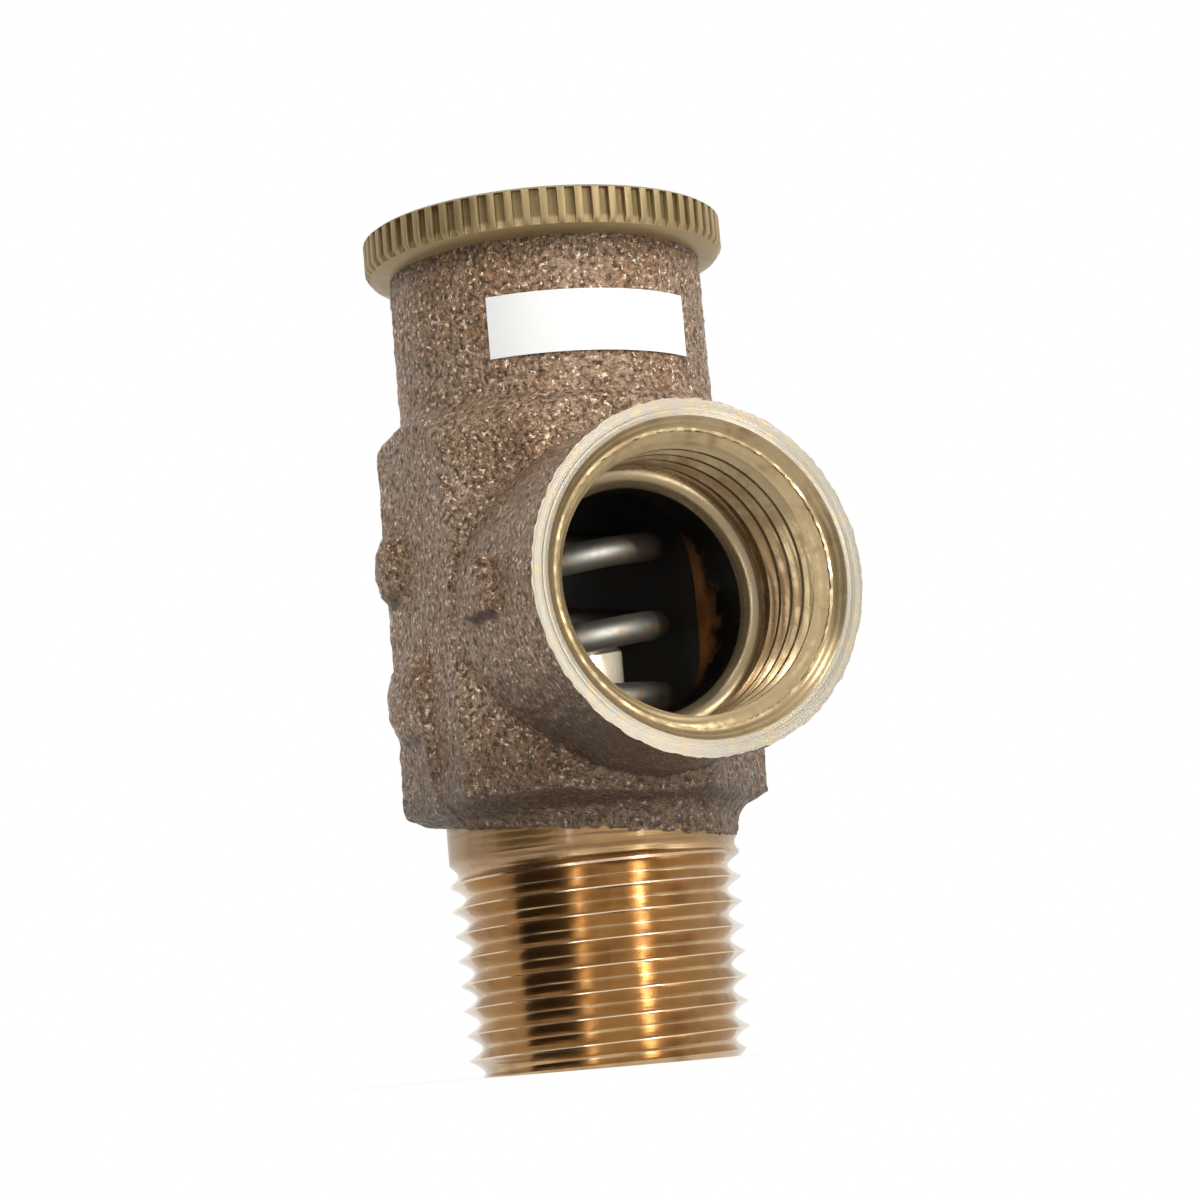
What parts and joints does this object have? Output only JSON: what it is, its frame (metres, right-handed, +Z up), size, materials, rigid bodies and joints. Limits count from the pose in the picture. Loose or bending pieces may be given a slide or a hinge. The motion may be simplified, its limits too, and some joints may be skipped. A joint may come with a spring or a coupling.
{
  "type": "pressure relief valve",
  "caption": "Angle-pattern spring-loaded relief valve: cast body with threaded inlet below, threaded outlet at the side, knurled lock ring on top.",
  "frame": {"origin": "centre of the inlet's lower end face", "axes": "+Z up along the valve axis, the outlet faces -Y, +X to the right of the outlet seen from the front"},
  "size_m": [0.0272, 0.0358, 0.0627],
  "materials": {
    "cast_bronze": "sand-cast, rough",
    "ring_brass": "dull, knurled",
    "turned_brass": "machined, bright",
    "spring_steel": "drawn wire, satin",
    "seat_rubber": "moulded, matt"
  },
  "bodies": {
    "valve_body": {"body": "cast_bronze", "spring": "spring_steel"},
    "lock_ring": {"lock_ring": "ring_brass"},
    "spring_button": {"upper_spring_seat": "turned_brass"},
    "adjusting_screw": {"adjusting_screw": "turned_brass"},
    "disc": {"disc_holder": "turned_brass", "seat_disc": "seat_rubber", "disc_washer": "turned_brass", "disc_screw": "turned_brass"}
  },
  "joints": [
    {"name": "disc_lift", "type": "slide", "parent": "valve_body", "child": "disc", "axis": [0, 0, 1], "range_m": [0, 0.004], "stiffness_N_per_m": 22000, "deforming": ["spring"]},
    {"name": "adjust_advance", "type": "slide", "parent": "valve_body", "child": "spring_button", "axis": [0, 0, 1], "range_m": [-0.00375, 0.0015], "deforming": ["spring"]},
    {"name": "adjust_turn", "type": "hinge", "parent": "spring_button", "child": "adjusting_screw", "pos_m": [0, 0, 0.0536], "axis": [0, 0, 1], "range_deg": [-900, 360]},
    {"name": "lock_ring_turn", "type": "hinge", "parent": "valve_body", "child": "lock_ring", "pos_m": [0, 0, 0.0611], "axis": [0, 0, 1], "range_deg": [0, 90]}
  ],
  "couplings": [
    {"joint": "adjust_turn", "follows": "adjust_advance", "rad_per_m": 4188.8}
  ]
}
